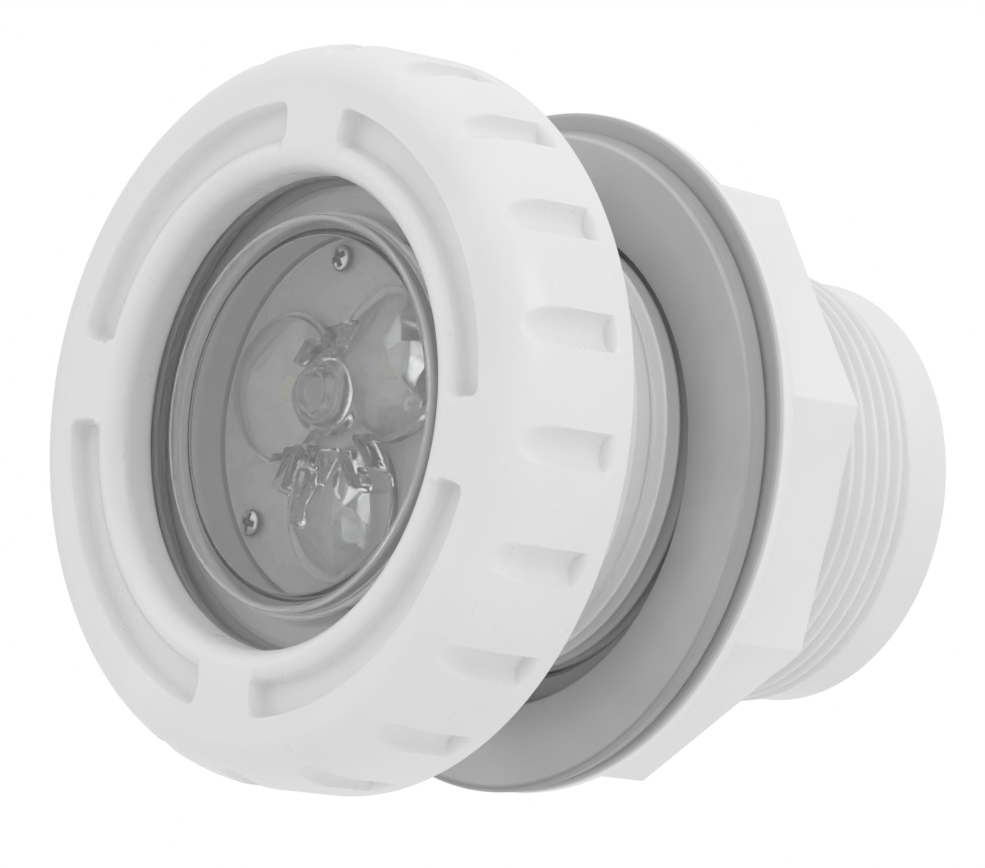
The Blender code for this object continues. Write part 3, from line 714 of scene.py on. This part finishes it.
def make_lock_nut():
    """Eight-sided nut that grows out of a round flange through a cone."""
    front, end = NUT_FRONT, NUT_END
    cone_start = front + NUT_FLANGE_THICKNESS
    inner, side = NUT_BORE + 0.7, 43.0

    def outline(z, angle):
        past = smooth_max(z - cone_start, 0.0 * z, 1.2)
        cone = NUT_FLANGE_RADIUS - past * NUT_CONE_SLOPE
        flats = polygon_radius(angle, NUT_SIDES, NUT_CORNER_RADIUS, NUT_PHASE, 0.5)
        return smooth_max(flats, cone, 0.2) - edge_round(z, front, end, 0.5)

    corners = [(inner, front, 0.0), (side, front, 0.0), (side, end, 0.0), (inner, end, 0.0),
               (NUT_BORE, end - 0.7, 0.2), (NUT_BORE, front + 0.7, 0.2)]
    polygon_piece("flanged_nut", corners, inner, side, outline, polygon_angles(NUT_SIDES, NUT_PHASE),
                  lambda r, z: 0.18 if abs(r - side) < 0.01 else 3.0,
                  (WHITE_NUT, "clamp_nut", "nut_white"), ("lock_nut",))


# ---------------------------------------------------------------- lamp unit

def make_lens():
    """Clear cover: a raised face, a clamped rim and a shallow recess behind."""
    corners = [(0, LENS_FACE, 0), (LENS_STEP_RADIUS, LENS_FACE, 0.8), (LENS_STEP_RADIUS, LENS_STEP, 0.4),
               (CLAMP_RADIUS, LENS_STEP, 0.3), (CLAMP_RADIUS, LENS_BACK, 0.3), (24.3, LENS_BACK, 0.4),
               (23.5, 8.4, 0.5), (0, 8.4, 0)]
    turned("clear_lens", corners, LENS_CLEAR, "light_body", ("lens",), 256, closed=False)


def make_lamp_housing():
    """Cup with a sealing bead on its face and a tube behind it, then the seals on both sides of its rim."""
    bead = CUP_FRONT - 0.4
    corners = [(CLAMP_RADIUS, CUP_FRONT, 0.3), (CLAMP_RADIUS, 14.0, 0.3), (29.2, 14.0, 0.3),
               (29.2, 18.5, 0.4), (TAIL_RADIUS, 18.5, 0.2), (TAIL_RADIUS, TAIL_END, 0.3),
               (TAIL_BORE, TAIL_END, 0.3), (TAIL_BORE, 22.5, 0.2), (18.9, 22.5, 0.2),
               (18.9, 16.4, 0.2), (24.8, 16.4, 0.1), (24.8, 15.0, 0.3), (27.2, CUP_FRONT, 0.5),
               (29.2, CUP_FRONT, 0.2), (29.6, bead, 0.2), (30.4, bead, 0.2), (30.8, CUP_FRONT, 0.2)]
    turned("housing_cup", corners, HOUSING_GREY, "light_body",
           ("lamp_housing", "housing_tail"), 224)
    seal = [(32.4, 9.9, 0.4), (37.2, 9.9, 0.3), (37.2, 11.4, 0.3), (32.4, 11.4, 0.4)]
    turned("lens_gasket", seal, SEAL_GREY, "light_body", ("lens_seal",), 224)
    seal = [(31.0, 14.3, 0.4), (37.2, 14.3, 0.4), (37.2, 16.0, 0.4), (31.0, 16.0, 0.4)]
    turned("flange_seal", seal, SEAL_DARK, "light_body", ("housing_seal",), 224)


def make_cover_plate():
    """Reflector plate with a narrow raised bead at its edge."""
    bead, front, back = PLATE_DEPTH, PLATE_DEPTH + 0.3, PLATE_DEPTH + 0.8
    corners = [(0, front, 0), (23.7, front, 0.3), (23.9, bead, 0.1), (24.3, bead, 0.15), (24.4, back, 0.2),
               (0, back, 0)]
    turned("reflector_plate", corners, PLATE_SATIN, "light_body", ("cover_plate",), 224,
           closed=False)


def make_plate_screws():
    """Pan-head screws with a cross recess."""
    top = SCREW_TOP
    for number, angle in enumerate(SCREW_ANGLES, start=1):
        corners = [(0, top, 0), (1.2, top + 0.1, 0.6), (1.8, top + 0.6, 0.25), (1.8, top + 0.9, 0.1),
                   (0.95, top + 0.9, 0.1), (0.95, SCREW_END - 0.6, 0.2), (0, SCREW_END, 0)]

        def shape(r, z, a, normal, turn=radians(17.0 + 40.0 * number)):
            x, y = np.abs(r * np.cos(a + turn)), np.abs(r * np.sin(a + turn))
            arm, length = np.minimum(x, y), np.maximum(x, y)
            cross = (1 - smoothstep(0.30, 0.42, arm)) * (1 - smoothstep(1.1, 1.35, length))
            return r, z + np.where(z < top + 0.5, 0.95 * cross, 0.0)

        path = refine(rounded_path(corners, False), lambda r, z: 0.07 if z < top + 0.5 else 0.8, False)
        points, faces = turned_mesh(path, even_angles(72), shape, spot_on(SCREW_CIRCLE, angle))
        finish_piece(f"cross_screw_{number}", points, faces, SCREW_STEEL, "light_body",
                     (f"plate_screw_{number}",), 50.0)


def optic_reach(angle):
    """Outline radius of the three-lobe optic."""
    reach = np.full_like(angle, 4.6)
    for middle in LAMP_ANGLES:
        off = (angle - radians(middle) + pi) % (2 * pi) - pi
        inside = LOBE_RADIUS ** 2 - (LOBE_CIRCLE * np.sin(off)) ** 2
        lobe = np.where((inside > 0) & (np.abs(off) < pi / 2),
                        LOBE_CIRCLE * np.cos(off) + np.sqrt(np.maximum(inside, 0)), 0.0)
        reach = np.maximum(reach, lobe)
    return reach


def gem_height(x, y, count, steepness, chance):
    """Height lost to flat facets cut at seeded angles around a lobe."""
    lost = np.zeros_like(x)
    for k in range(count):
        direction = 2 * pi * (k + chance.uniform(-0.3, 0.3)) / count
        start = chance.uniform(1.5, 5.5)
        slope = steepness * chance.uniform(0.5, 1.5)
        lost = np.maximum(lost, slope * (x * cos(direction) + y * sin(direction) - start))
    return lost


def capsule(x, y, spot, direction, length, width, edge):
    """A round-ended bar on the optic: 1 on its top, 0 outside, with a soft edge."""
    dx, dy = x - spot[0], y - spot[1]
    along = dx * cos(radians(direction)) + dy * sin(radians(direction))
    across = -dx * sin(radians(direction)) + dy * cos(radians(direction))
    distance = np.hypot(np.maximum(np.abs(along) - (length - width) / 2, 0), across)
    return 1 - smoothstep(width / 2 - edge, width / 2, distance)


def optic_height(x, y):
    """Height of the clear optic above its back face: three faceted lobes, bars and a boss."""
    chance = np.random.default_rng(7)
    height = np.full_like(x, 1.2)
    for middle, count, steepness in zip(LAMP_ANGLES, FACET_COUNTS, FACET_SLOPES):
        lobe_x, lobe_y = spot_on(LOBE_CIRCLE, middle)
        lx, ly = x - lobe_x, y - lobe_y
        away = np.hypot(lx, ly)
        lobe = LOBE_HEIGHT - gem_height(lx, ly, count, steepness, chance) - 0.010 * away ** 2
        lobe = lobe * (1 - smoothstep(LOBE_RADIUS - 0.9, LOBE_RADIUS, away))
        height = np.maximum(height, lobe)
    for spot, direction, length, width in OPTIC_BARS:
        bar = capsule(x, y, spot, direction, length, width, 0.45)
        height = np.maximum(height * (1 - 0.35 * bar), (2.2 + 2.2 * bar) * (bar > 0))
        height = height - 1.3 * capsule(x, y, spot, direction, length - 1.3, width - 1.1, 0.3)
    from_boss = np.hypot(x - BOSS_SPOT[0], y - BOSS_SPOT[1])
    clear = smoothstep(4.8, 5.8, from_boss)
    height = height * clear + 2.2 * (1 - clear)
    collar = 4.4 * (1 - smoothstep(4.2, 4.8, from_boss)) - 0.5 * (1 - smoothstep(3.4, 3.8, from_boss))
    boss = 5.4 * (1 - smoothstep(2.9, 3.3, from_boss)) - 0.7 * (1 - smoothstep(2.0, 2.4, from_boss))
    return np.maximum(np.maximum(height, 0.5), np.maximum(boss, collar))


def make_triple_optic():
    """Clear moulded optic as a polar height field over a flat back."""
    back = OPTIC_BACK
    angles = even_angles(400)
    reach = optic_reach(angles)
    fractions = np.linspace(0, 1, 111)[1:]
    r = fractions[:, None] * reach[None, :]
    a = np.repeat(angles[None, :], len(fractions), axis=0)
    top = back - optic_height(r * np.cos(a), r * np.sin(a))
    top[-1] = back - 0.4
    flat = np.full_like(r, back)
    layers = [world_points(r, top, a), world_points(r[::-1], flat, a)]
    points = np.concatenate([layer.reshape(-1, 3) for layer in layers])
    faces = grid_faces(2 * len(fractions), len(angles), False)
    centre_top = back - float(optic_height(np.array([0.0]), np.array([0.0]))[0])
    points, faces = close_ends(points, faces, (centre_top, back), len(angles))
    finish_piece("collimator", points, faces, OPTIC_CLEAR, "light_body",
                 ("triple_optic",), 30.0)


def make_leds():
    """Each lamp is a phosphor dome inside a low rim; all three sit on one metal-core board."""
    for number, angle in enumerate(LAMP_ANGLES, start=1):
        corners = [(0, 15.25, 0), (1.5, 15.4, 1.2), (1.75, 15.95, 0.1), (2.0, 15.8, 0.1), (2.55, 15.9, 0.1),
                   (2.6, 16.2, 0.1), (0, 16.2, 0)]
        turned(f"lamp_dome_{number}", corners, PHOSPHOR, "light_body", (f"led_{number}",), 64,
               spot_on(LOBE_CIRCLE, angle), closed=False)
    board = [(0, 16.5, 0), (18.3, 16.5, 0.1), (18.3, 18.1, 0.15), (0, 18.1, 0)]
    turned("lamp_board", board, BOARD_WHITE, "light_body", ("led_board",), 160, closed=False)


def make_heat_sink():
    """Turned aluminium slug: a plug against the lamp board, then three round fins behind it."""
    corners = [(0, 18.4, 0), (18.2, 18.4, 0.3), (18.2, FIRST_FIN, 0.1)]
    for number in range(FIN_COUNT):
        front = FIRST_FIN + FIN_PITCH * number
        corners += [(FIN_RADIUS, front, 0.25), (FIN_RADIUS, front + FIN_WIDTH, 0.25)]
        if number < FIN_COUNT - 1:
            corners += [(17.0, front + FIN_WIDTH, 0.4), (17.0, front + FIN_PITCH, 0.4)]
    corners.append((0, 31.6, 0))
    turned("finned_sink", corners, ALUMINIUM, "light_body", ("heat_sink",), 128,
           closed=False)


def rounded_box(name, size, centre, radius, skin, replaces=()):
    """A box with rounded edges, in millimetres about a centre (x, depth, z)."""
    bm = bmesh.new()
    bmesh.ops.create_cube(bm, size=1.0)
    bmesh.ops.scale(bm, vec=size, verts=bm.verts)
    bmesh.ops.bevel(bm, geom=bm.edges[:], offset=radius, segments=3, affect="EDGES", profile=0.5)
    points = [(v.co.x + centre[0], v.co.y + centre[1], v.co.z + centre[2]) for v in bm.verts]
    world = [(x * MM, FRONT_Y + y * MM, z * MM) for x, y, z in points]
    faces = [[v.index for v in face.verts] for face in bm.faces]
    bm.free()
    return finish_piece(name, world, faces, skin, "light_body", replaces)


def upright(name, corners, centre, skin, replaces, cols=64, shape=None):
    """A turned piece whose axis is vertical, with its foot at a centre (x, depth, z)."""
    path = refine(rounded_path(corners, False), lambda r, z: 0.12, False)
    points, faces = turned_mesh(path, even_angles(cols), shape)
    local = (points - np.array((0.0, FRONT_Y, 0.0))) / MM
    turned_up = np.stack([local[:, 0] + centre[0], -local[:, 2] + centre[1], local[:, 1] + centre[2]], -1)
    world = turned_up * MM + np.array((0.0, FRONT_Y, 0.0))
    return finish_piece(name, world, faces, skin, "light_body", replaces)


def make_driver():
    """Driver board lying along the tail, with chip and legs, wound choke and sleeved capacitor."""
    rounded_box("power_board", (30.0, 20.0, 1.2), (0.0, 46.0, -6.0), 0.2, BOARD_GREEN,
                ("driver_board",))
    rounded_box("power_chip", (8.0, 6.0, 1.6), (-9.0, 50.0, -4.1), 0.25, CHIP_BLACK,
                ("driver_chip",))
    for number in range(8):
        side = -1 if number < 4 else 1
        spot = (-12.0 + 2.0 * (number % 4), 50.0 + 3.5 * side, PARTS_HEIGHT)
        rounded_box(f"chip_leg_{number + 1}", (0.5, 0.9, 0.25), spot, 0.08, SCREW_STEEL)
    core = [(0, 0.0, 0), (4.9, 0.0, 0.3), (4.9, 0.9, 0.1), (4.3, 0.9, 0.0), (4.3, 5.1, 0.0), (4.9, 5.1, 0.1),
            (4.9, 6.0, 0.3), (0, 6.0, 0)]

    def windings(r, z, angle, normal):
        on_coil = (r > 4.25) & (r < 4.35)
        return np.where(on_coil, r + 0.35 * np.abs(np.cos(pi * z / 0.42)), r), z

    upright("wound_choke", core, (6.0, 44.0, PARTS_HEIGHT), COPPER, ("driver_inductor",),
            shape=windings)
    can = [(0, 0.0, 0), (3.1, 0.0, 0.3), (3.1, 1.2, 0.3), (2.8, 1.6, 0.3), (3.1, 2.0, 0.3), (3.1, 8.9, 0.5),
           (2.3, 8.9, 0.15), (2.2, 8.6, 0.1), (0, 8.6, 0)]
    upright("sleeved_capacitor", can, (-6.0, 41.0, PARTS_HEIGHT), CAN_BLUE, ("driver_capacitor",))


# ---------------------------------------------------------------- rear cap and gland

def make_rear_cap():
    """Cap plugged into the housing's tail, with eight spanner pockets in its rear face."""
    seal = [(21.9, 62.3, 0.3), (24.1, 62.3, 0.3), (24.1, 63.3, 0.3), (21.9, 63.3, 0.3)]
    turned("cap_seal", seal, SEAL_DARK, "light_body", ("rear_cap_seal",), 160)
    corners = [(21.3, 59.0, 0.3), (21.3, 63.6, 0.2), (TAIL_RADIUS, 63.6, 0.2),
               (TAIL_RADIUS, CAP_FACE - 1.2, 0.2), (23.1, CAP_FACE, 0.3), (6.2, CAP_FACE, 0.3),
               (6.2, 59.0, 0.3)]

    def shape(r, z, angle, normal):
        from_middle = (angle + pi / 8) % (pi / 4) - pi / 8
        across = np.hypot(np.maximum(np.abs(r - 18.0) - 1.5, 0), r * from_middle)
        pocket = 1.2 * (1 - smoothstep(1.1, 1.6, across))
        ring_groove = 0.4 * (1 - smoothstep(0.2, 0.5, np.abs(r - 12.2)))
        return r, z - np.where(z > CAP_FACE - 0.1, np.maximum(pocket, ring_groove), 0.0)

    path = refine(rounded_path(corners), lambda r, z: 0.2 if z > CAP_FACE - 0.2 else 1.5)
    points, faces = turned_mesh(path, even_angles(288), shape)
    finish_piece("spanner_cap", points, faces, HOUSING_GREY, "light_body", ("rear_cap",))


def make_gland():
    """Cable gland: body with a hexagon, soft bush, and a domed cap nut with chamfered corners."""
    stem, hex_front, hex_end = GLAND_STEM_RADIUS, 67.8, 71.6
    body = [(GLAND_BORE, 60.0, 0.3), (5.8, 60.0, 0.2), (5.8, hex_front, 0.0),
            (HEXAGON_RADIUS, hex_front, 0.0), (HEXAGON_RADIUS, hex_end, 0.0), (stem, hex_end, 0.0),
            (stem, 77.0, 0.3), (GLAND_BORE, 77.0, 0.4)]

    def hexagon(r, z, angle, normal):
        behind, before = smoothstep(70.8, hex_end, z), 1 - smoothstep(hex_front, 68.6, z)
        corner = HEXAGON_RADIUS - 0.55 * behind - 0.55 * before
        flats = np.minimum(polygon_radius(angle, 6, HEXAGON_RADIUS, 0.0, 0.5), corner)
        pushed = stem + (r - stem) * (flats - stem) / (HEXAGON_RADIUS - stem)
        return np.where(r > stem + 0.05, pushed, r), z

    path = refine(rounded_path(body), lambda r, z: 0.25 if r > HEXAGON_RADIUS - 0.1 else 1.0)
    points, faces = turned_mesh(path, polygon_angles(6, 0.0, 3.0, 15), hexagon)
    finish_piece("gland_stem", points, faces, GLAND_GREY, "light_body", ("gland_body",), 35.0)
    bush = [(GLAND_BORE, 77.3, 0.3), (6.6, 77.3, 0.3), (6.2, 80.0, 0.5), (GLAND_BORE, 80.0, 0.3)]
    turned("gland_sleeve", bush, SEAL_DARK, "gland_plug", ("gland_bush",), 96)
    front, end, side = 72.0, 82.0, 9.9

    def outline(z, angle):
        chamfer = 0.6 * (1 - smoothstep(front, front + 0.8, z))
        dome = HEXAGON_RADIUS - 2.2 * np.clip((z - 78.6) / 3.4, 0, 1) ** 2 - chamfer
        return np.minimum(polygon_radius(angle, 6, HEXAGON_RADIUS, 30.0, 0.5), dome)

    nut = [(7.4, front, 0.2), (side, front, 0.0), (side, end, 0.0), (4.8, end, 0.5), (4.2, end - 0.4, 0.2),
           (4.2, 80.4, 0.1), (7.4, 80.3, 0.1)]
    polygon_piece("gland_cap_nut", nut, 7.45, side, outline, polygon_angles(6, 30.0, 3.0, 15),
                  lambda r, z: 0.2 if abs(r - side) < 0.01 else 2.0, (GLAND_GREY, "gland_cap", "gland_grey"),
                  ("gland_nut",))


# ---------------------------------------------------------------- stage

def make_camera():
    """Long lens level with the light, in front of it and to its right, rolled a little."""
    azimuth, roll = radians(CAMERA_AZIMUTH), radians(CAMERA_ROLL)
    level = Vector((cos(azimuth), sin(azimuth), 0.0))
    back = Vector((sin(azimuth), -cos(azimuth), 0.0))
    vertical = Vector((0.0, 0.0, 1.0))
    right = level * cos(roll) + vertical * sin(roll)
    up = vertical * cos(roll) - level * sin(roll)
    data = bpy.data.cameras.new("camera")
    data.lens = CAMERA_LENS
    data.sensor_width = SENSOR_WIDTH
    camera = bpy.data.objects.new("camera", data)
    aim = Vector((0.0, FRONT_Y, 0.0)) + right * AIM_RIGHT - up * AIM_DOWN
    camera.matrix_world = Matrix((right, up, back)).transposed().to_4x4()
    camera.location = aim + back * CAMERA_DISTANCE * MM
    bpy.context.scene.collection.objects.link(camera)
    bpy.context.scene.camera = camera


def make_floor():
    """A plain pale disc well below the light."""
    bpy.ops.mesh.primitive_circle_add(vertices=96, radius=FLOOR_RADIUS, fill_type="NGON",
                                      location=(0.0, 0.0, FLOOR_HEIGHT))
    floor = bpy.context.object
    floor.name = "studio_floor"
    made, tree, shader = new_material("floor_paper")
    tree.links.new(tint(tree, noise(tree, 6.0), grey(0.84), grey(0.88)), shader.inputs["Base Color"])
    shader.inputs["Roughness"].default_value = 0.9
    floor.data.materials.append(made)


def make_world():
    """A light tent that the camera sees as plain white, and that lights more from above than below."""
    world = bpy.data.worlds.new("light_tent")
    bpy.context.scene.world = world
    world.use_nodes = True
    tree = world.node_tree
    background = tree.nodes["Background"]
    place = tree.nodes.new("ShaderNodeTexCoord")
    split = tree.nodes.new("ShaderNodeSeparateXYZ")
    by_height = tree.nodes.new("ShaderNodeMapRange")
    by_height.inputs["From Min"].default_value = -1.0
    by_height.inputs["From Max"].default_value = 1.0
    by_height.inputs["To Min"].default_value = 0.44
    by_height.inputs["To Max"].default_value = 1.04
    seen = tree.nodes.new("ShaderNodeLightPath")
    mix = tree.nodes.new("ShaderNodeMix")
    tree.links.new(place.outputs["Generated"], split.inputs["Vector"])
    tree.links.new(split.outputs["Z"], by_height.inputs["Value"])
    tree.links.new(seen.outputs["Is Camera Ray"], mix.inputs["Factor"])
    tree.links.new(by_height.outputs["Result"], mix.inputs["A"])
    mix.inputs["B"].default_value = 1.0
    tree.links.new(mix.outputs["Result"], background.inputs["Strength"])
    background.inputs["Color"].default_value = (1.0, 1.0, 1.0, 1.0)


def make_lights():
    """Two soft lamps aimed at the light: the key from the right and above, the fill from the left."""
    for name, spot, size, power in (("key_softbox", (1.1, -0.2, 0.9), 0.8, 2.4),
                                    ("fill_softbox", (-0.9, -0.9, 0.3), 0.9, 0.7)):
        data = bpy.data.lights.new(name, "AREA")
        data.shape = "DISK"
        data.size = size
        data.energy = power
        lamp = bpy.data.objects.new(name, data)
        lamp.location = spot
        lamp.rotation_euler = (-Vector(spot)).to_track_quat("-Z", "Y").to_euler()
        bpy.context.scene.collection.objects.link(lamp)


make_camera()
make_floor()
make_world()
make_lights()
make_face_ring()
make_slip_washer()
make_wall_fitting()
make_flange_gasket()
make_nut_gasket()
make_lock_nut()
make_lens()
make_lamp_housing()
make_cover_plate()
make_plate_screws()
make_triple_optic()
make_leds()
make_heat_sink()
make_driver()
make_rear_cap()
make_gland()
bpy.context.scene.view_settings.view_transform = "Standard"
